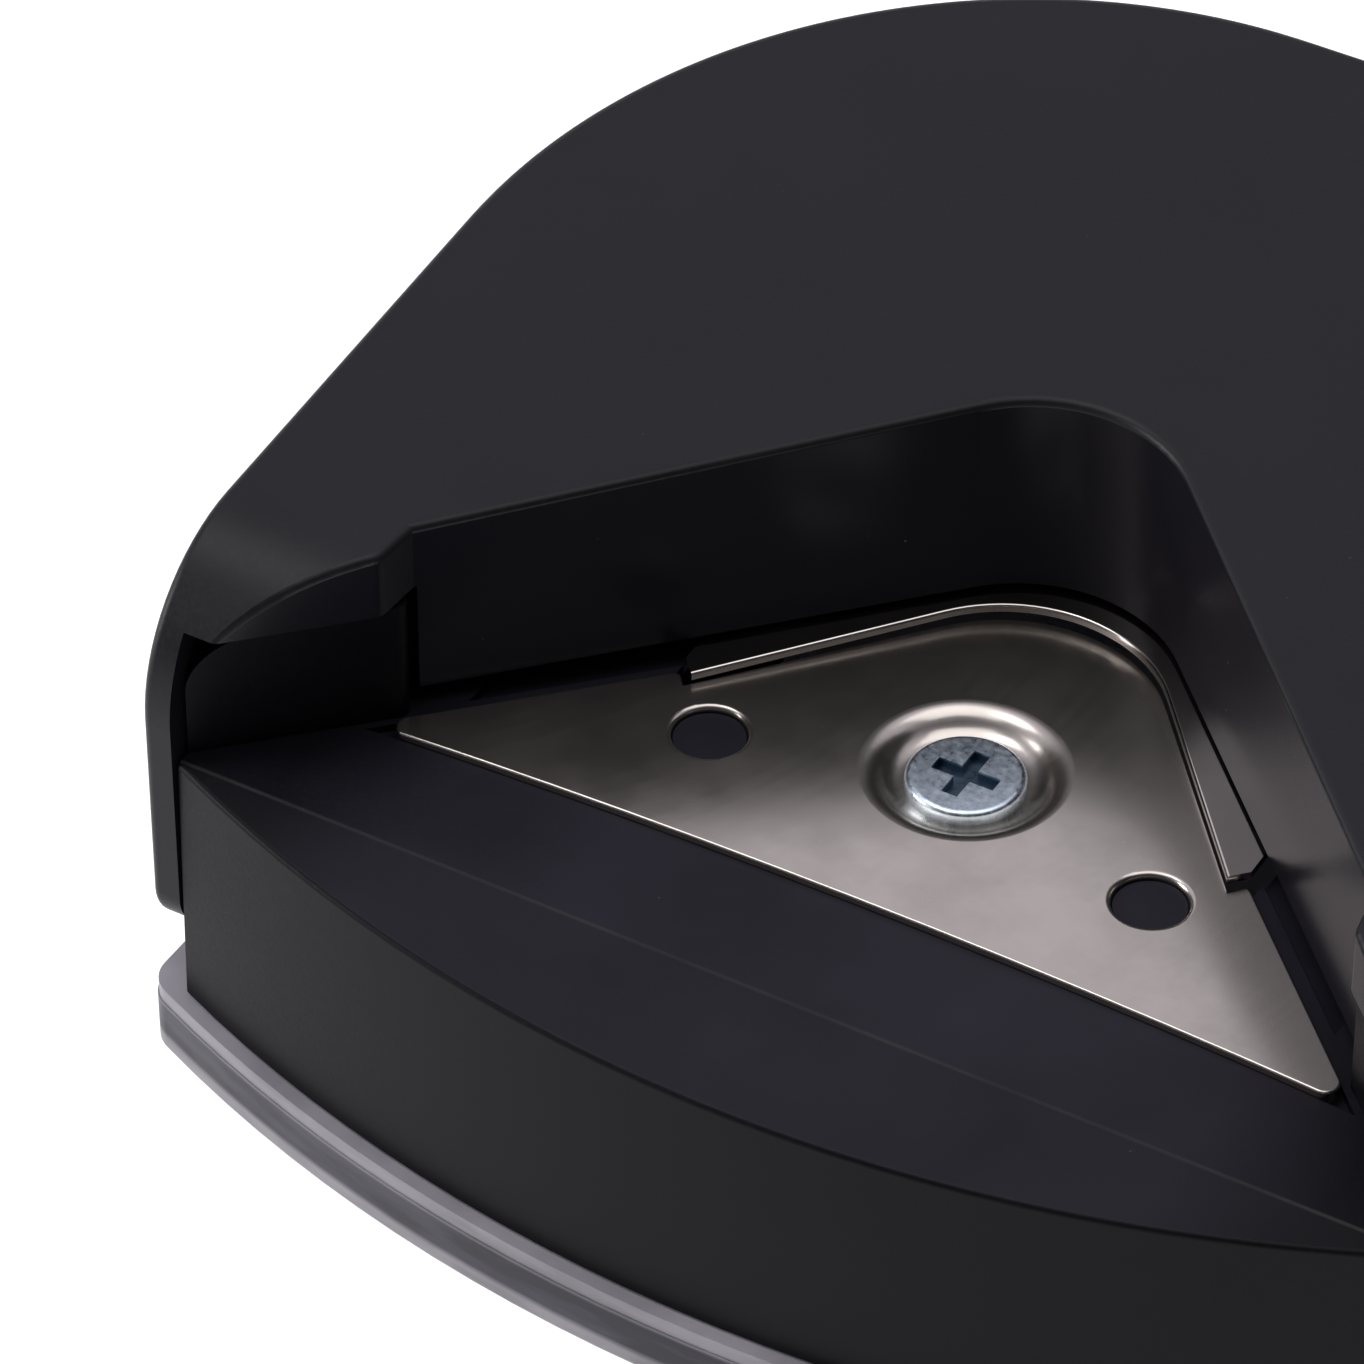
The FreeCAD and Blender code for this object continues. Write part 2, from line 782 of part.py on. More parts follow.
def guide_post(label, side):
    body = new_body(label)
    section = new_sketch(body, "XZ")
    draw(
        section,
        ("0", "frame_low"),
        ("post_r", "frame_low"),
        ("post_r", "clip_low"),
        ("post_r - clip_groove", "clip_low"),
        ("post_r - clip_groove", "clip_low + clip_thick"),
        ("post_r", "clip_low + clip_thick"),
        ("post_r", "post_top - 0.4"),
        ("post_r - 0.4", "post_top"),
        ("0", "post_top"),
    )
    revolve(body, section)
    bind(body, "Placement.Base.x", f"{side} * post_half")
    bind(body, "Placement.Base.y", "corner_y + post_out")
    doc.recompute()
    return body


def return_spring(label, side):
    body = new_body(label)
    wire = new_sketch(body, "XZ")
    start_z = "(frame_low + frame_thick + wire_r + spring_gap)"
    draw_circle(wire, "spring_r", start_z, "wire_r")
    doc.recompute()
    coil = body.newObject("PartDesign::AdditiveHelix", "Coil")
    coil.Profile = wire
    coil.ReferenceAxis = (next(f for f in body.Origin.OriginFeatures if f.Role == "Z_Axis"), [""])
    coil.Mode = "height-turns-angle"
    bind(coil, "Height", f"carrier_boss_low - wire_r - spring_gap - {start_z}")
    bind(coil, "Turns", "spring_turns")
    bind(body, "Placement.Base.x", f"{side} * post_half")
    bind(body, "Placement.Base.y", "corner_y + post_out")
    doc.recompute()
    return body


def post_clips():
    """Two retaining clips in the posts' grooves: they stop the carrier's upward travel."""
    body = new_body("post_clips")
    rings = new_sketch(body, lift="clip_low")
    for side in (-1, 1):
        draw_circle(rings, f"{side} * post_half", "corner_y + post_out", "clip_r")
        draw_circle(rings, f"{side} * post_half", "corner_y + post_out", "post_r - clip_groove")
    pad(body, rings, "clip_thick")
    slots = new_sketch(body, lift="clip_low")
    for side in (-1, 1):
        draw_box(
            slots,
            f"{side} * post_half - post_r + 0.5",
            "corner_y + post_out",
            f"{side} * post_half + post_r - 0.5",
            "corner_y + post_out + clip_r + 1",
        )
    pocket(body, slots, "clip_thick", up=True)
    return body


def hinge_pin(label, side):
    body = new_body(label)
    section = new_sketch(body, "XZ")
    draw(
        section,
        ("0", "pin_start"),
        ("pin_r - 0.3", "pin_start"),
        ("pin_r", "pin_start + 0.3"),
        ("pin_r", "pin_end - 0.2"),
        ("pin_r - 0.2", "pin_end"),
        ("0", "pin_end"),
    )
    revolve(body, section)
    body.Placement.Rotation = FreeCAD.Rotation(Vector(0, 1, 0), 90 * side)
    bind(body, "Placement.Base.y", "corner_y - hinge_in")
    bind(body, "Placement.Base.z", "hinge_z")
    doc.recompute()
    return body


# ---------------------------------------------------------------- cutter
def cutter_blade():
    """Flat steel blade. Drawn about the front of its curve, then tilted so that it shears
    from the ends of its arms towards the middle."""
    body = new_body("cutter_blade")
    plan = new_sketch(body)
    shift = "(corner_y - contour_in)"

    def local(point):
        return point[0], f"{point[1]} - {shift}"

    side_y = f"{contour_point('blade_clear', 'arm_half', 1)[1]} - {shift} + arm_end"
    draw(
        plan,
        local(contour_point("blade_clear", "arm_half", -1)),
        local(contour_tangent("blade_clear", -1)),
        (*local(contour_tangent("blade_clear", 1)), "contour_round + blade_clear", "right"),
        local(contour_point("blade_clear", "arm_half", 1)),
        ("blade_half", side_y),
        ("blade_half", "blade_rear_out + contour_in"),
        ("-blade_half", "blade_rear_out + contour_in"),
        ("-blade_half", side_y),
    )
    for side in (-1, 1):
        draw_circle(plan, f"{side} * blade_screw_half", "blade_screw_out + contour_in", "small_shank_r + 0.1")
    pad(body, plan, "blade_thick")
    top = SIZES["blade_thick"]
    fillet(
        body,
        "blade_edge",
        lambda edge: is_level_at(edge, top) and edge.Length > 3 and edge.BoundBox.YMax < SIZES["blade_gap"],
    )
    body.Placement.Rotation = FreeCAD.Rotation(Vector(1, 0, 0), 1)
    bind(body, "Placement.Rotation.Angle", "blade_tilt")
    bind(body, "Placement.Base.y", shift)
    bind(body, "Placement.Base.z", "plate_top + blade_gap")
    doc.recompute()
    return body


def cutter_carrier():
    """Block that holds the blade and slides on the two guide posts."""
    body = new_body("cutter_carrier")
    side_view = new_sketch(body, "YZ")
    front_y = "corner_y + carrier_front_out"
    rear_y = "corner_y + carrier_rear_out"
    seat = "blade_thick / cos(blade_tilt)"
    draw(
        side_view,
        (front_y, f"{blade_plane(front_y)} + {seat}"),
        (rear_y, f"{blade_plane(rear_y)} + {seat}"),
        (rear_y, "carrier_top"),
        (front_y, "carrier_top"),
    )
    pad(body, side_view, "2 * carrier_half", midplane=True)
    bosses = new_sketch(body, lift="carrier_boss_low")
    bores = new_sketch(body, lift="carrier_boss_low")
    for side in (-1, 1):
        draw_circle(bosses, f"{side} * post_half", "corner_y + post_out", "carrier_boss_r")
        draw_circle(bores, f"{side} * post_half", "corner_y + post_out", "bush_r")
    pad(body, bosses, "carrier_boss_top - carrier_boss_low")
    pocket(body, bores, "carrier_boss_top - carrier_boss_low", up=True)
    nose = new_sketch(body, "YZ")
    draw_circle(nose, "corner_y + push_out", "push_top - push_r", "push_r")
    pad(body, nose, "2 * push_half", midplane=True)
    pilots = new_sketch(body, lift="plate_top")
    for side in (-1, 1):
        draw_circle(pilots, f"{side} * blade_screw_half", "corner_y + blade_screw_out", "small_shank_r + 0.1")
    pocket(body, pilots, "carrier_top - plate_top - 0.3", up=True)
    return body


def carrier_bush(label, side):
    body = new_body(label)
    ring = new_sketch(body, lift="carrier_boss_low")
    draw_circle(ring, f"{side} * post_half", "corner_y + post_out", "bush_r")
    draw_circle(ring, f"{side} * post_half", "corner_y + post_out", "post_r + bush_gap")
    pad(body, ring, "carrier_boss_top - carrier_boss_low")
    return body


# ---------------------------------------------------------------- lever
NOSE_Y = "(corner_y - nose_in)"


def lever_block(body, inset):
    """The lever's outside as one solid, or the room inside it when inset is its wall."""
    front_y = f"({NOSE_Y} - nose_round + {inset})"
    crown_y = f"({NOSE_Y} - (nose_round - {inset}) * sin(roof_slope))"
    crown_z = f"(roof_z - nose_round + (nose_round - {inset}) * cos(roof_slope))"
    profile = new_sketch(body, "YZ")
    draw(
        profile,
        (front_y, f"leg_low - {inset}"),
        ("past", f"leg_low - {inset}"),
        ("past", f"{crown_z} + (past - {crown_y}) * tan(roof_slope)"),
        (crown_y, crown_z),
        (front_y, "roof_z - nose_round", f"nose_round - {inset}", "left"),
    )
    pad(body, profile, f"2 * (lever_half - {inset})", midplane=True)

    around = new_sketch(body)
    draw_box(around, "-2 * past", "-2 * past", "2 * past", "2 * past")
    half = f"(lever_half - {inset})"
    rear = rear_outline(half, "lever_rear_y", f"(lever_rear_round - {inset})")
    draw(around, (f"-{half}", "-past"), (half, "-past"), *rear)
    pocket(body, around, "past", up=True)


def cut_vee(body, inset, hood_half, step_half):
    """Cut the right-angled opening in the front, leaving the hoods over the fence blocks."""
    vee = new_sketch(body)
    wall_y = f"corner_y + wall_out + {inset} * 1.41421"
    hood_y = f"corner_y - hood_in + {inset} * 1.41421"
    radius = f"(wall_round + {inset})"
    tangent = f"{radius} * 0.70711"
    arc_y = "(corner_y + wall_out - wall_round * 1.41421)"
    draw(
        vee,
        ("-past", f"{hood_y} - past"),
        (f"-{hood_half}", f"{hood_y} - {hood_half}"),
        (f"-{step_half}", f"{wall_y} - {step_half}"),
        (f"-{tangent}", f"{arc_y} + {tangent}"),
        (tangent, f"{arc_y} + {tangent}", radius, "right"),
        (step_half, f"{wall_y} - {step_half}"),
        (hood_half, f"{hood_y} - {hood_half}"),
        ("past", f"{hood_y} - past"),
    )
    pocket(body, vee, "past", up=True)


def soften_lever(body):
    """Round the leg corners, the hood ends, the outer rim of the roof and the V's rim."""
    half = SIZES["lever_half"]
    front = value("corner_y - nose_in - nose_round")
    low = SIZES["leg_low"]

    def on_flank(edge):
        box = edge.BoundBox
        return box.XLength < 1e-3 and abs(abs(box.XMin) - half) < 1e-3

    def outer_rim(edge):
        box = edge.BoundBox
        flank = on_flank(edge) and box.ZMax > low + 1 and not (is_upright(edge) and box.YMin > 0)
        return flank or (box.YMax > 30 and box.ZMin > low + 1)

    def vee_rim(edge):
        box = edge.BoundBox
        slanted = box.XLength > 1e-3 and box.ZLength > 1e-3
        return slanted and box.YMax < SIZES["corner_y"] and abs(box.Center.x) + box.XLength / 2 < half - 1

    hood_y = SIZES["corner_y"] - SIZES["hood_in"] - SIZES["hood_half"]
    fillet(body, "leg_round", lambda edge: is_level_at(edge, low) and abs(edge.BoundBox.YMax - front) < 1e-3)
    fillet(body, "hood_round", lambda edge: is_upright(edge) and near(edge, SIZES["hood_half"], hood_y))
    fillet(body, "vee_round", vee_rim)
    fillet(body, "roof_round", outer_rim)


def lever_cover():
    body = new_body("lever_cover")
    lever_block(body, "0")
    cut_vee(body, "0", "hood_half", "hood_step_half")
    soften_lever(body)
    core = doc.addObject("PartDesign::Body", "lever_room")
    lever_block(core, "lever_wall")
    cut_vee(core, "lever_wall", "(hood_half + lever_wall)", "(hood_half + lever_wall + 0.01)")
    hollow = body.newObject("PartDesign::Boolean", "Hollow")
    hollow.Type = "Cut"
    hollow.setObjects([core])
    doc.recompute()

    room = new_sketch(body)
    room_half = "(lever_half - lever_wall)"
    room_back = "corner_y - fence_inner + 2 * fence_deep + 1"
    for side in (-1, 1):
        draw(
            room,
            (f"{side} * (wall_end - 3)", "corner_y - past"),
            (f"{side} * {room_half}", "corner_y - past"),
            (f"{side} * {room_half}", room_back),
            (f"{side} * (2 * wall_end - wall_out - fence_inner + 2 * fence_deep + 1)", room_back),
            (f"{side} * (wall_end - 3)", "corner_y - wall_end + wall_out - 3"),
        )
    pocket(body, room, "hood_low", up=True)

    for side in (-1, 1):
        relief = new_sketch(body, "YZ", lift=f"{side} * wall_end")
        draw(
            relief,
            ("corner_y - hinge_in", "hood_low"),
            (room_back, "hood_low"),
            (room_back, f"hood_low + ({room_back} - corner_y + hinge_in) * tan(hood_relief)"),
        )
        pocket(body, relief, "lever_half - lever_wall - wall_end", up=side > 0)

    under_wall = new_sketch(body, "YZ")
    wall_base = "blade_thick + wall_gap"
    rear = "corner_y + 1"
    draw(
        under_wall,
        ("corner_y - past", "0"),
        (rear, "0"),
        (rear, f"{blade_plane(rear)} + {wall_base}"),
        ("corner_y - past", f"{blade_plane('corner_y - past')} + {wall_base}"),
    )
    pocket(body, under_wall, "2 * (lever_half - lever_wall)", midplane=True)

    skirt = new_sketch(body, "YZ")
    leg_y = "(corner_y - leg_rear_in)"
    draw(
        skirt,
        (leg_y, "0"),
        (leg_y, "skirt_front_z - leg_round"),
        (f"{leg_y} + leg_round", "skirt_front_z", "leg_round", "right"),
        ("lever_rear_round + lever_rear_y", "skirt_rear_z"),
        ("past", "skirt_rear_z"),
        ("past", "0"),
    )
    pocket(body, skirt, "2 * past", midplane=True)

    bores = new_sketch(body, "YZ")
    draw_circle(bores, "corner_y - hinge_in", "hinge_z", "pin_r + pin_gap")
    pocket(body, bores, "2 * past", midplane=True)

    bosses = new_sketch(body, lift="press_low + press_thick")
    pilots = new_sketch(body, lift="press_low")
    for side in (-1, 1):
        draw_circle(bosses, f"{side} * press_screw_half", "corner_y + press_screw_out", "press_boss_r")
        draw_circle(pilots, f"{side} * press_screw_half", "corner_y + press_screw_out", "small_shank_r + 0.05")
    pad(body, bosses, "press_boss_top - press_low - press_thick")
    pocket(body, pilots, "5", up=True)

    catch = new_sketch(body, lift="catch_low")
    inside_y = "lever_rear_y + lever_rear_round - lever_wall"
    draw_box(catch, "-catch_half", f"{inside_y} - catch_reach", "catch_half", f"{inside_y} + 0.4")
    pad(body, catch, "catch_high")
    return body


def pressure_plate():
    """Steel strip under the lever's roof that bears on the carrier."""
    body = new_body("pressure_plate")
    plan = new_sketch(body, lift="press_low")
    draw_box(plan, "-press_half", "corner_y + press_front_out", "press_half", "corner_y + press_rear_out")
    for side in (-1, 1):
        draw_circle(
            plan, f"{side} * press_screw_half", "corner_y + press_screw_out", "small_shank_r + 0.1"
        )
    pad(body, plan, "press_thick")
    return body


# ---------------------------------------------------------------- chip tray
def tray_outline(inset):
    """The tray's outline moved inwards."""
    half = f"(tray_half - {inset})"
    end_y = f"tray_end_y + {inset} * end_lean"
    return rounded_outline(half, end_y, f"tray_front_round - {inset}", "tray_rear_y", f"(tray_rear_round - {inset})")


def chip_tray():
    """Translucent tray that closes the base from below and catches the cut corners."""
    body = new_body("chip_tray")
    foot = new_sketch(body)
    draw(foot, *tray_outline("0"))
    pad(body, foot, "tray_step_z")
    flange = new_sketch(body, lift="tray_step_z")
    draw(flange, *tray_outline("tray_step"))
    pad(body, flange, "tray_top - tray_step_z")
    end_y = SIZES["tray_end_y"]
    fillet(body, "tray_corner", lambda edge: is_upright(edge) and near(edge, SIZES["tray_half"], end_y, 0.5))
    fillet(body, "tray_foot_edge", lambda edge: is_level_at(edge, 0))

    rim = new_sketch(body, lift="tray_top - 0.5")
    draw(rim, *inner_outline("(base_wall + rim_gap)"))
    pad(body, rim, "rim_top - tray_top + 0.5")
    cavity = new_sketch(body, lift="rim_top")
    draw(cavity, *inner_outline("(base_wall + rim_gap + tray_wall)"))
    pocket(body, cavity, "rim_top - tray_floor")

    channel = new_sketch(body)
    draw(channel, *tray_outline("tray_wall"))
    draw(channel, *inner_outline("(base_wall + rim_gap)"))
    pocket(body, channel, "channel_top", up=True)
    return body


# ---------------------------------------------------------------- assembly
base_housing()
cutting_plate()
plate_screw()
inner_frame()
screw_group("frame_screws", FRAME_SCREWS, "(frame_low - small_head)", "boss_top - 2")
for side_name, sign in (("left", -1), ("right", 1)):
    guide_post(f"guide_post_{side_name}", sign)
    return_spring(f"return_spring_{side_name}", sign)
    hinge_pin(f"hinge_pin_{side_name}", sign)
    carrier_bush(f"carrier_bush_{side_name}", sign)
post_clips()
cutter_blade()
cutter_carrier()
blade_screws = [(f"{sign} * blade_screw_half", "corner_y + blade_screw_out") for sign in (-1, 1)]
screw_group(
    "blade_screws",
    blade_screws,
    "(-small_head)",
    "blade_thick + 2",
    x_turn="blade_tilt",
    rise=blade_plane("corner_y + blade_screw_out"),
)
lever_cover()
pressure_plate()
press_screws = [(f"{sign} * press_screw_half", "corner_y + press_screw_out") for sign in (-1, 1)]
screw_group("pressure_plate_screws", press_screws, "(press_low - small_head)", "press_low + press_thick + 3")
chip_tray()

doc.recompute()
for thing in doc.Objects:
    if {"Invalid", "Error"} & set(thing.State):
        raise RuntimeError(f"{thing.Label} failed: {thing.State}")
os.makedirs("parts", exist_ok=True)
for sub_part in SUB_PARTS:
    shape = sub_part.Shape
    if shape.isNull() or not shape.isValid():
        raise RuntimeError(f"{sub_part.Label} has no valid shape")
    shape.exportStep(f"parts/{sub_part.Label}.step")
    print(f"{sub_part.Label}: {len(shape.Solids)} solid(s), {shape.Volume:.1f} mm3")
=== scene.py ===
"""Looks of the corner rounding punch: node materials for every CAD node, a studio and a camera.

Everything is in metres in the part's own frame: X across, -Y the front, Z up from the table.
Colours are in linear light.
"""

import math

import bpy
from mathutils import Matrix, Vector


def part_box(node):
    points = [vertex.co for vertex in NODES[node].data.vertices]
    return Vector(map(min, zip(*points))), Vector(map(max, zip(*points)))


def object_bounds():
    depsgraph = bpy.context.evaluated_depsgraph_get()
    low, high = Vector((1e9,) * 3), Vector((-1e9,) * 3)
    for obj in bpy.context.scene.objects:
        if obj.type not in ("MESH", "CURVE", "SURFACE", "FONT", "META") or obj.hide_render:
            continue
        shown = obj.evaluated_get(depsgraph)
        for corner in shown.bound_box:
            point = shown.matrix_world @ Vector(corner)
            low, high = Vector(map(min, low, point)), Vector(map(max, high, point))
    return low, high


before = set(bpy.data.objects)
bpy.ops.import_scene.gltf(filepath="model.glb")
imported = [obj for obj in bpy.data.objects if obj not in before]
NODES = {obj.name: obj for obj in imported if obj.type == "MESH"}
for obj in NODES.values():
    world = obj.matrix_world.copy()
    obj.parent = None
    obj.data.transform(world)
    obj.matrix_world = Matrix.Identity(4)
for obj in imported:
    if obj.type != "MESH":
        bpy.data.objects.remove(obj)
cad_low, cad_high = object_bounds()
MM = 0.001

# Tints: what a grey level is multiplied by in red, green and blue
BLACK_TINT = (1.08, 1.0, 1.4)
SMOKE_TINT = (1.05, 1.0, 1.1)
ROOM_TINT = (0.97, 0.95, 1.06)

# Metal colours
PLATE_STEEL = (0.60, 0.55, 0.50, 1.0)
BLADE_STEEL = (0.70, 0.65, 0.60, 1.0)
ZINC_DULL = (0.56, 0.66, 0.75, 1.0)
ZINC_CLEAN = (0.70, 0.80, 0.88, 1.0)
ZINC_BRIGHT = (0.90, 0.95, 0.98, 1.0)
RECESS_SHADE = (0.13, 0.19, 0.25, 1.0)
BRASS_DARK = (0.60, 0.42, 0.16, 1.0)
BRASS_LIGHT = (0.78, 0.60, 0.30, 1.0)

# A face is told by its normal: how far it rises (Z) or points to the front (Y)
WALL_RISE = 0.25
LEVEL_RISE = 0.9
WALL_FRONT = -0.5

# Places and sizes on the part
POLISHED_PAST_PLATE = 6 * MM
CREASE_HALF_WIDTH = 0.14 * MM
SAME_LEVEL = 0.01 * MM
# Across the part: where the painted shade at the ends of the deck begins, and where it is full
PAINTED_SHADE_START, PAINTED_SHADE_FULL = 20 * MM, 27 * MM
LAPPING_CENTRE_LEFT = 40 * MM
RECESS_REACH = 1.8 * MM
RECESS_LIP, RECESS_DARK = 0.09 * MM, 0.14 * MM

# The tray's thin wall, where painted shade darkens it, as shares of the tray's height
TRAY_WALL_LOW, TRAY_WALL_HIGH = 0.15, 0.43

# Studio
FLOOR_HALF = 1.5
FLOOR_GAP = 0.02 * MM
FLOOR_GLOW = 0.96
LIGHT_AIM = Vector((0, 0, 0.015))
BRIGHT_SIDE = Vector((-0.5, 0.7, 0.5))
ROOM_STOPS = ((0.30, 0.03), (0.50, 0.22), (0.72, 0.60), (1.0, 0.72))

# The camera stands to the right of the front and looks down at the left half of the punch
CAMERA_AZIMUTH = math.radians(30.488)
CAMERA_ELEVATION = math.radians(40.274)
CAMERA_DISTANCE = 0.35
CAMERA_LENS = 198.3
CAMERA_SENSOR = 36.0
CAMERA_CLIP_START = 0.01
CAMERA_TARGET = Vector((-14.407, -9.487, 18.4)) * MM


# ---------------------------------------------------------------- colours
def tinted(level, tint):
    return tuple(level * share for share in tint) + (1.0,)


def cool_black(level):
    """The faintly violet black of the mouldings."""
    return tinted(level, BLACK_TINT)


def smoke(level):
    """The cool smoke grey of the tray."""
    return tinted(level, SMOKE_TINT)


def grey(level):
    return (level, level, level, 1.0)


# ---------------------------------------------------------------- node helpers
class Surface:
    """A material with its nodes, built up a step at a time."""

    def __init__(self, name):
        self.material = bpy.data.materials.new(name)
        self.material.use_nodes = True
        self.tree = self.material.node_tree
        self.shader = self.tree.nodes["Principled BSDF"]
        self.place = self.add("ShaderNodeTexCoord").outputs["Object"]
        self.normal = self.add("ShaderNodeNewGeometry").outputs["Normal"]
        self.bump = None

    def add(self, kind, **settings):
        node = self.tree.nodes.new(kind)
        for name, value in settings.items():
            setattr(node, name, value)
        return node

    def link(self, source, target):
        self.tree.links.new(source, target)

    def feed(self, socket, value):
        """Connect a socket to another, or set it to a plain value."""
        if isinstance(value, bpy.types.NodeSocket):
            self.link(value, socket)
        else:
            socket.default_value = value

    def fix(self, **sockets):
        """Set constants on the shader itself."""
        for name, value in sockets.items():
            self.shader.inputs[name.replace("_", " ")].default_value = value

    def colour(self, socket):
        self.link(socket, self.shader.inputs["Base Color"])

    def roughness(self, socket):
        self.link(socket, self.shader.inputs["Roughness"])

    def math(self, operation, a, b=0.0):
        node = self.add("ShaderNodeMath", operation=operation)
        for socket, value in zip(node.inputs, (a, b)):
            self.feed(socket, value)
        return node.outputs[0]

    def times(self, a, b):
        return self.math("MULTIPLY", a, b)

    def distance(self, a, b):
        """Length of the flat vector with the parts a and b."""
        squares = self.math("ADD", self.math("POWER", a, 2.0), self.math("POWER", b, 2.0))
        return self.math("SQRT", squares)

    def split(self, vector):
        node = self.add("ShaderNodeSeparateXYZ")
        self.link(vector, node.inputs[0])
        return node.outputs

    def ramp(self, value, *stops):
        """A colour ramp with (position, colour) stops."""
        node = self.add("ShaderNodeValToRGB")
        while len(node.color_ramp.elements) < len(stops):
            node.color_ramp.elements.new(0.5)
        for element, (position, colour) in zip(node.color_ramp.elements, stops):
            element.position = position
            element.color = colour
        self.link(value, node.inputs[0])
        return node.outputs[0]

    def spread(self, value, low, high, new_low, new_high):
        """Map value from low..high to new_low..new_high, held at both ends."""
        node = self.add("ShaderNodeMapRange")
        for socket, number in zip(node.inputs, (value, low, high, new_low, new_high)):
            self.feed(socket, number)
        return node.outputs[0]

    def noise(self, size, detail=2.0, roughness=0.5, place=None, stretch=None):
        """Fractal noise whose blobs are about size metres across."""
        source = place or self.place
        if stretch:
            mapping = self.add("ShaderNodeMapping")
            mapping.inputs["Scale"].default_value = stretch
            self.link(source, mapping.inputs["Vector"])
            source = mapping.outputs[0]
        node = self.add("ShaderNodeTexNoise")
        node.inputs["Scale"].default_value = 1.0 / size
        node.inputs["Detail"].default_value = detail
        node.inputs["Roughness"].default_value = roughness
        self.link(source, node.inputs["Vector"])
        return node.outputs["Fac"]

    def mix(self, share, first, second):
        node = self.add("ShaderNodeMix", data_type="RGBA")
        self.feed(node.inputs["Factor"], share)
        self.feed(node.inputs["A"], first)
        self.feed(node.inputs["B"], second)
        return node.outputs["Result"]

    def raise_by(self, height, depth, strength):
        """Add a bump layer whose full height is depth metres."""
        node = self.add("ShaderNodeBump")
        node.inputs["Distance"].default_value = depth
        node.inputs["Strength"].default_value = strength
        self.link(height, node.inputs["Height"])
        if self.bump:
            self.link(self.bump, node.inputs["Normal"])
        self.bump = node.outputs["Normal"]
        self.link(self.bump, self.shader.inputs["Normal"])

    def specks(self, size, share, radius):
        """Mask of scattered dots: a share of the cells of that size holds one each."""
        cell = self.add("ShaderNodeTexVoronoi")
        cell.inputs["Scale"].default_value = 1.0 / size
        self.link(self.place, cell.inputs["Vector"])
        near = self.spread(cell.outputs["Distance"], radius * 0.5, radius, 1.0, 0.0)
        chance = self.split(cell.outputs["Color"])[0]
        return self.times(near, self.math("GREATER_THAN", chance, 1.0 - share))

    def line(self, value, place, half_width):
        """Mask that is one where value is close to place, fading out at half_width."""
        away = self.math("ABSOLUTE", self.math("SUBTRACT", value, place))
        return self.spread(away, half_width * 0.3, half_width, 1.0, 0.0)


def paint(surface, *names):
    for name in names:
        slots = NODES[name].data.materials
        slots.clear()
        slots.append(surface.material)


# ---------------------------------------------------------------- materials
def black_plastic(name, base, gloss, finish):
    """Black plastic from a spark-eroded mould: fine grain, slight sheen, a little dust.

    finish(surface, tone, rough, broad) adds what only this moulding has. broad is a noise of
    large clouds. It returns the tone, the roughness, the share of the dust and its colour."""
    s = Surface(name)
    grain = s.noise(0.22 * MM, detail=4.0, roughness=0.6)
    fine = s.noise(0.07 * MM, detail=2.0)
    broad = s.noise(9 * MM, detail=3.0)
    clouds = s.spread(broad, 0.3, 0.7, 0.0, 1.0)
    tone = s.mix(clouds, cool_black(base * 0.85), cool_black(base * 1.15))
    tone = s.mix(s.spread(grain, 0.5, 0.75, 0.0, 0.35), tone, cool_black(base * 2.2))
    uneven = s.math("ADD", grain, s.times(broad, 0.5))
    rough = s.spread(uneven, 0.55, 0.95, 0.36, 0.46)
    tone, rough, dust_share, dust_colour = finish(s, tone, rough, broad)
    dust = s.times(s.specks(1.3 * MM, 0.10, 0.05), dust_share)
    s.colour(s.mix(dust, tone, dust_colour))
    s.roughness(rough)
    s.fix(Specular_IOR_Level=gloss, IOR=1.5)
    s.raise_by(grain, 0.010 * MM, 0.5)
    s.raise_by(fine, 0.004 * MM, 0.4)
    return s


def lever_plastic(name, base, gloss, polished_half):
    """The lever's plastic. The walls of the V are polished, as far out as polished_half."""
    def polish(s, tone, rough, broad):
        facing = s.split(s.normal)
        across = s.split(s.place)[0]
        frontward = s.math("LESS_THAN", facing[1], WALL_FRONT)
        upright = s.math("LESS_THAN", s.math("ABSOLUTE", facing[2]), WALL_RISE)
        between = s.math("LESS_THAN", s.math("ABSOLUTE", across), polished_half)
        polished = s.times(s.times(frontward, upright), between)
        tone = s.mix(polished, tone, cool_black(base * 1.5))
        rough = s.mix(polished, rough, grey(0.22))
        return tone, rough, s.spread(polished, 0.0, 1.0, 0.1, 0.8), grey(0.30)

    return black_plastic(name, base, gloss, polish)


def housing_plastic(name, base, gloss, crease_y):
    """The base's plastic. Its level faces carry a film of dust, faded out towards both ends
    across the part as painted shade for the dark reflection of the walls there; and the bend at
    crease_y, where the deck turns down into the bevel, carries a thin painted highlight line, a
    little lighter."""
    def handle(s, tone, rough, broad):
        rise = s.split(s.normal)[2]
        across, along = s.split(s.place)[:2]
        topside = s.math("GREATER_THAN", rise, LEVEL_RISE)
        film = s.times(s.spread(rise, 0.97, 0.998, 0.6, 1.0), topside)
        # Painted shade: the dust film fades towards both ends across the part, standing in for
        # the dark reflection of the walls there.
        painted_end_shade_fade = s.spread(s.math("ABSOLUTE", across), PAINTED_SHADE_START, PAINTED_SHADE_FULL, 1.0, 0.15)
        film = s.times(s.times(film, painted_end_shade_fade), s.spread(broad, 0.3, 0.7, 0.12, 0.18))
        tone = s.mix(film, tone, cool_black(0.10))
        # Painted highlight: a thin lighter line along the bend of the deck, where a rounded
        # edge would catch the light.
        crease_painted_highlight = s.times(s.line(along, crease_y, CREASE_HALF_WIDTH), topside)
        crease_painted_highlight = s.times(crease_painted_highlight, s.spread(broad, 0.35, 0.6, 0.35, 0.9))
        tone = s.mix(crease_painted_highlight, tone, grey(0.035))
        level = s.spread(rise, 0.95, 0.999, 0.0, 1.0)
        return tone, rough, s.spread(level, 0.0, 1.0, 0.04, 0.5), grey(0.10)

    return black_plastic(name, base, gloss, handle)


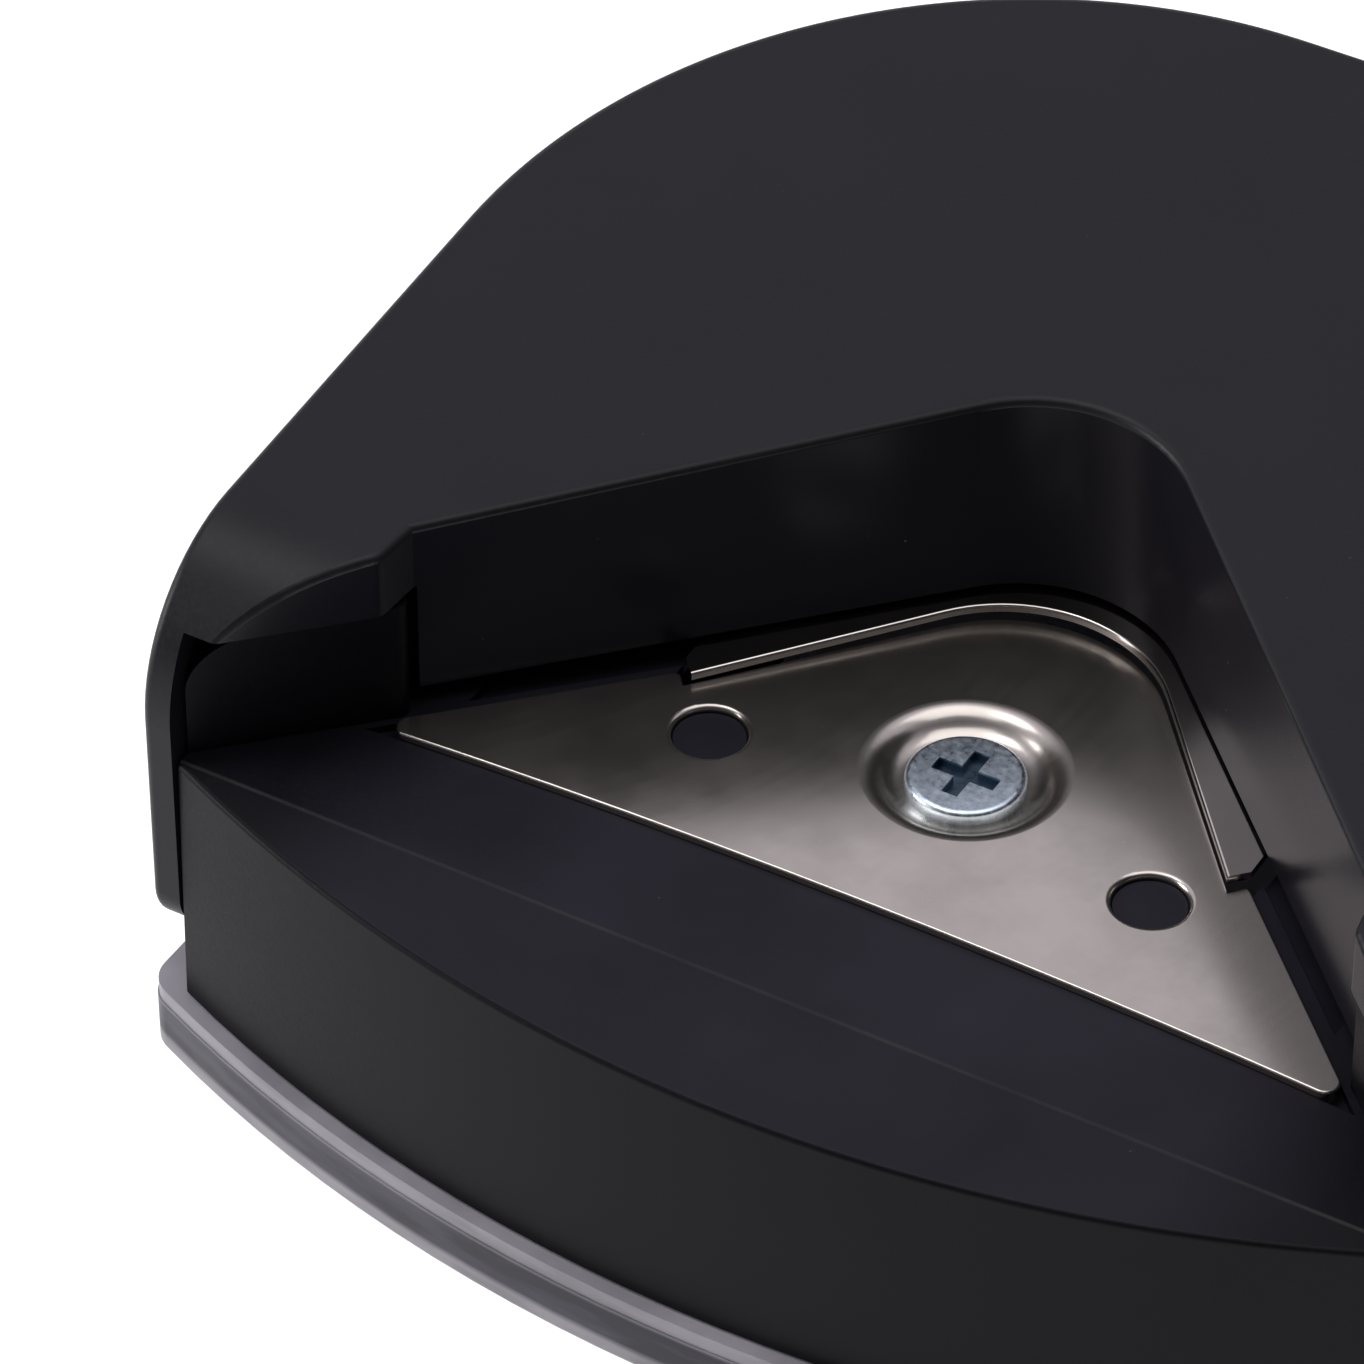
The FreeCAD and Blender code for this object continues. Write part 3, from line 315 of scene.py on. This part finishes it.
def satin_steel(name, colour, brush_size, rough_low, rough_high, metallic=1.0):
    """Stainless sheet with a soft grain, faint lapping arcs and a few fine scratches."""
    s = Surface(name)
    place = s.split(s.place)
    from_left = s.math("ADD", place[0], LAPPING_CENTRE_LEFT)
    ring = s.add("ShaderNodeCombineXYZ")
    s.link(s.distance(from_left, place[1]), ring.inputs[0])
    s.link(place[2], ring.inputs[2])
    marks = s.noise(brush_size, detail=4.0, roughness=0.6, place=ring.outputs[0])
    cloud = s.noise(4 * MM, detail=4.0, roughness=0.6)
    grain = s.noise(0.12 * MM, detail=3.0)
    scratches = s.noise(0.8 * MM, detail=6.0, roughness=0.75, stretch=(0.12, 1.8, 1.0))
    darker = tuple(c * 0.9 for c in colour[:3]) + (1.0,)
    tone = s.mix(s.spread(cloud, 0.35, 0.65, 0.0, 1.0), colour, darker)
    s.colour(s.mix(s.spread(scratches, 0.64, 0.8, 0.0, 0.2), tone, grey(0.8)))
    uneven = s.math("ADD", s.times(marks, 0.4), cloud)
    s.roughness(s.spread(uneven, 0.5, 0.95, rough_low, rough_high))
    s.fix(Metallic=metallic)
    s.raise_by(marks, 0.0004 * MM, 0.25)
    s.raise_by(scratches, 0.0008 * MM, 0.35)
    s.raise_by(grain, 0.0006 * MM, 0.5)
    return s


def zinc_plated(name, head_top=None):
    """Bluish bright zinc with blotches and small pits. head_top is the middle of the top of a
    screw head, whose driver recess carries painted shade from just below its lip."""
    s = Surface(name)
    blotch = s.noise(0.35 * MM, detail=4.0, roughness=0.6)
    pits = s.noise(0.12 * MM, detail=3.0)
    tone = s.ramp(blotch, (0.3, ZINC_DULL), (0.55, ZINC_CLEAN), (0.75, ZINC_BRIGHT))
    if head_top:
        place = s.split(s.place)
        across = s.math("SUBTRACT", place[0], head_top[0])
        along = s.math("SUBTRACT", place[1], head_top[1])
        inside = s.math("LESS_THAN", s.distance(across, along), RECESS_REACH)
        below = s.math("SUBTRACT", head_top[2], place[2])
        recess_painted_shade = s.times(inside, s.spread(below, RECESS_LIP, RECESS_DARK, 0.0, 1.0))
        # Painted shade inside the driver recess, deepening below its lip.
        tone = s.mix(recess_painted_shade, tone, RECESS_SHADE)
    s.colour(tone)
    s.roughness(s.spread(blotch, 0.3, 0.7, 0.24, 0.38))
    s.fix(Metallic=1.0)
    s.raise_by(pits, 0.003 * MM, 0.4)
    return s


def spring_wire(name):
    """Bright drawn wire, streaked along its length."""
    s = Surface(name)
    drawn = s.noise(0.25 * MM, detail=4.0, stretch=(1.0, 1.0, 4.0))
    s.colour(s.ramp(drawn, (0.3, grey(0.36)), (0.7, grey(0.55))))
    s.roughness(s.spread(drawn, 0.3, 0.7, 0.22, 0.4))
    s.fix(Metallic=1.0)
    s.raise_by(drawn, 0.003 * MM, 0.4)
    return s


def turned_brass(name):
    """Brass with the fine rings of a lathe."""
    s = Surface(name)
    lathe = s.noise(0.09 * MM, detail=2.0, stretch=(0.02, 0.02, 1.0))
    s.colour(s.ramp(lathe, (0.3, BRASS_DARK), (0.7, BRASS_LIGHT)))
    s.roughness(s.spread(lathe, 0.3, 0.7, 0.2, 0.38))
    s.fix(Metallic=1.0)
    s.raise_by(lathe, 0.003 * MM, 0.5)
    return s


def slider_plastic(name):
    """Black low-friction plastic of the carrier, slightly waxy."""
    s = Surface(name)
    cloud = s.noise(2.5 * MM, detail=3.0)
    s.colour(s.ramp(cloud, (0.3, grey(0.010)), (0.7, grey(0.016))))
    s.roughness(s.spread(cloud, 0.3, 0.7, 0.38, 0.5))
    s.raise_by(s.noise(0.2 * MM), 0.004 * MM, 0.4)
    return s


def frosted_tray(name, wall_low, wall_high):
    """Smoke-grey frosted plastic: lighter where it is solid, and on faces that look up painted
    lighter still as painted light;
    where the wall is thin over the hollow, from wall_low to wall_high, it is painted near black
    as painted shade."""
    s = Surface(name)
    frost = s.noise(0.10 * MM, detail=3.0)
    flow = s.noise(6 * MM, detail=3.0, stretch=(1.0, 1.0, 5.0))
    height = s.split(s.place)[2]
    above = s.spread(height, wall_low * 0.8, wall_low * 1.15, 0.0, 1.0)
    below = s.spread(height, wall_high * 0.93, wall_high * 1.03, 1.0, 0.0)
    facing_up = s.spread(s.split(s.normal)[2], 0.4, 0.9, 0.0, 1.0)
    solid = s.ramp(flow, (0.38, smoke(0.23)), (0.62, smoke(0.31)))
    # Painted light: faces that look up are a lighter copy of the same smoke plastic.
    ledge_painted_light = s.ramp(flow, (0.38, smoke(0.31)), (0.62, smoke(0.42)))
    # Painted shade: the thin wall over the hollow is painted near black for the dark hollow
    # behind it.
    hollow_painted_shade = s.ramp(flow, (0.38, cool_black(0.022)), (0.62, cool_black(0.055)))
    s.colour(s.mix(s.times(above, below), s.mix(facing_up, solid, ledge_painted_light), hollow_painted_shade))
    s.roughness(s.spread(frost, 0.3, 0.7, 0.34, 0.42))
    s.fix(Transmission_Weight=0.15, IOR=1.46, Specular_IOR_Level=0.3)
    s.raise_by(frost, 0.002 * MM, 0.4)
    return s


# ---------------------------------------------------------------- places read from the frame
def bend_of_deck():
    """Y of the line where the deck bends down, read from the housing's own mesh."""
    plate_low, plate_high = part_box("cutting_plate")
    points = [vertex.co for vertex in NODES["base_housing"].data.vertices]
    ahead = [point for point in points if point.y < plate_low[1] and point.z < plate_high[2]]
    deck = max(point.z for point in ahead)
    return min(point.y for point in ahead if deck - point.z < SAME_LEVEL)


def top_of_screw():
    """Middle of the top of the plate screw's head."""
    low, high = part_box("plate_screw")
    return (low[0] + high[0]) / 2, (low[1] + high[1]) / 2, high[2]


def edge_of_polish():
    """How far out, across the part, the walls of the V are polished."""
    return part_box("cutting_plate")[1][0] + POLISHED_PAST_PLATE


def tray_wall():
    """Lower and upper limit of the tray's thin wall."""
    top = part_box("chip_tray")[1][2]
    return TRAY_WALL_LOW * top, TRAY_WALL_HIGH * top


lever_black = lever_plastic(
    "lever_plastic", base=0.006, gloss=0.24, polished_half=edge_of_polish())
housing_black = housing_plastic(
    "housing_plastic", base=0.004, gloss=0.09, crease_y=bend_of_deck())
plate_steel = satin_steel(
    "plate_steel", PLATE_STEEL, brush_size=0.35 * MM, rough_low=0.20, rough_high=0.28,
    metallic=0.97)
blade_steel = satin_steel(
    "blade_steel", BLADE_STEEL, brush_size=0.2 * MM, rough_low=0.10, rough_high=0.18)
paint(lever_black, "lever_cover")
paint(housing_black, "base_housing")
paint(plate_steel, "cutting_plate")
paint(blade_steel, "cutter_blade")
paint(zinc_plated("zinc_screw", head_top=top_of_screw()), "plate_screw")
paint(zinc_plated("zinc_steel"), "frame_screws", "inner_frame", "blade_screws")
paint(zinc_plated("zinc_pins"),
      "guide_post_left", "guide_post_right", "hinge_pin_left", "hinge_pin_right")
paint(zinc_plated("zinc_press"), "pressure_plate", "pressure_plate_screws")
paint(spring_wire("spring_steel"), "return_spring_left", "return_spring_right", "post_clips")
paint(turned_brass("bush_brass"), "carrier_bush_left", "carrier_bush_right")
paint(slider_plastic("carrier_plastic"), "cutter_carrier")
paint(frosted_tray("tray_plastic", *tray_wall()), "chip_tray")


# ---------------------------------------------------------------- studio
def studio_floor():
    mesh = bpy.data.meshes.new("floor")
    half = FLOOR_HALF
    corners = [(-half, -half, 0), (half, -half, 0), (half, half, 0), (-half, half, 0)]
    mesh.from_pydata(corners, [], [(0, 1, 2, 3)])
    floor = bpy.data.objects.new("floor", mesh)
    floor.location.z = cad_low[2] - FLOOR_GAP
    bpy.context.scene.collection.objects.link(floor)
    material = bpy.data.materials.new("floor_white")
    material.use_nodes = True
    shader = material.node_tree.nodes["Principled BSDF"]
    shader.inputs["Base Color"].default_value = grey(0.35)
    shader.inputs["Roughness"].default_value = 0.9
    shader.inputs["Emission Color"].default_value = grey(1.0)
    shader.inputs["Emission Strength"].default_value = FLOOR_GLOW
    mesh.materials.append(material)


def soft_box(name, place, size, watts):
    light = bpy.data.lights.new(name, "AREA")
    light.shape = "RECTANGLE"
    light.size, light.size_y = size
    light.energy = watts
    lamp = bpy.data.objects.new(name, light)
    lamp.location = place
    lamp.rotation_euler = (LIGHT_AIM - Vector(place)).to_track_quat("-Z", "Y").to_euler()
    bpy.context.scene.collection.objects.link(lamp)


def surroundings():
    """A room that is bright on one side and fades to dim on the other."""
    world = bpy.data.worlds.new("studio")
    world.use_nodes = True
    tree = world.node_tree
    direction = tree.nodes.new("ShaderNodeTexCoord")
    towards = tree.nodes.new("ShaderNodeVectorMath")
    towards.operation = "DOT_PRODUCT"
    towards.inputs[1].default_value = BRIGHT_SIDE.normalized()
    tree.links.new(direction.outputs["Generated"], towards.inputs[0])
    span = tree.nodes.new("ShaderNodeMapRange")
    span.inputs["From Min"].default_value = -1.0
    tree.links.new(towards.outputs["Value"], span.inputs["Value"])
    fade = tree.nodes.new("ShaderNodeValToRGB")
    while len(fade.color_ramp.elements) < len(ROOM_STOPS):
        fade.color_ramp.elements.new(0.5)
    for element, (position, level) in zip(fade.color_ramp.elements, ROOM_STOPS):
        element.position = position
        element.color = tinted(level, ROOM_TINT)
    tree.links.new(span.outputs["Result"], fade.inputs[0])
    tree.links.new(fade.outputs[0], tree.nodes["Background"].inputs["Color"])
    bpy.context.scene.world = world


def camera():
    data = bpy.data.cameras.new("camera")
    data.lens = CAMERA_LENS
    data.sensor_width = CAMERA_SENSOR
    data.clip_start = CAMERA_CLIP_START
    view = bpy.data.objects.new("camera", data)
    back = Vector((
        math.sin(CAMERA_AZIMUTH) * math.cos(CAMERA_ELEVATION),
        -math.cos(CAMERA_AZIMUTH) * math.cos(CAMERA_ELEVATION),
        math.sin(CAMERA_ELEVATION),
    ))
    view.location = CAMERA_TARGET + back * CAMERA_DISTANCE
    view.rotation_euler = (-back).to_track_quat("-Z", "Y").to_euler()
    bpy.context.scene.collection.objects.link(view)
    bpy.context.scene.camera = view


studio_floor()
surroundings()
soft_box("overhead", place=(0.02, -0.03, 0.60), size=(0.6, 0.45), watts=0.95)
soft_box("left_top", place=(-0.24, -0.09, 0.56), size=(0.2, 0.2), watts=0.4)
soft_box("left_front", place=(-0.55, -0.30, 0.20), size=(0.25, 0.3), watts=2.0)
camera()
bpy.context.scene.view_settings.view_transform = "Standard"
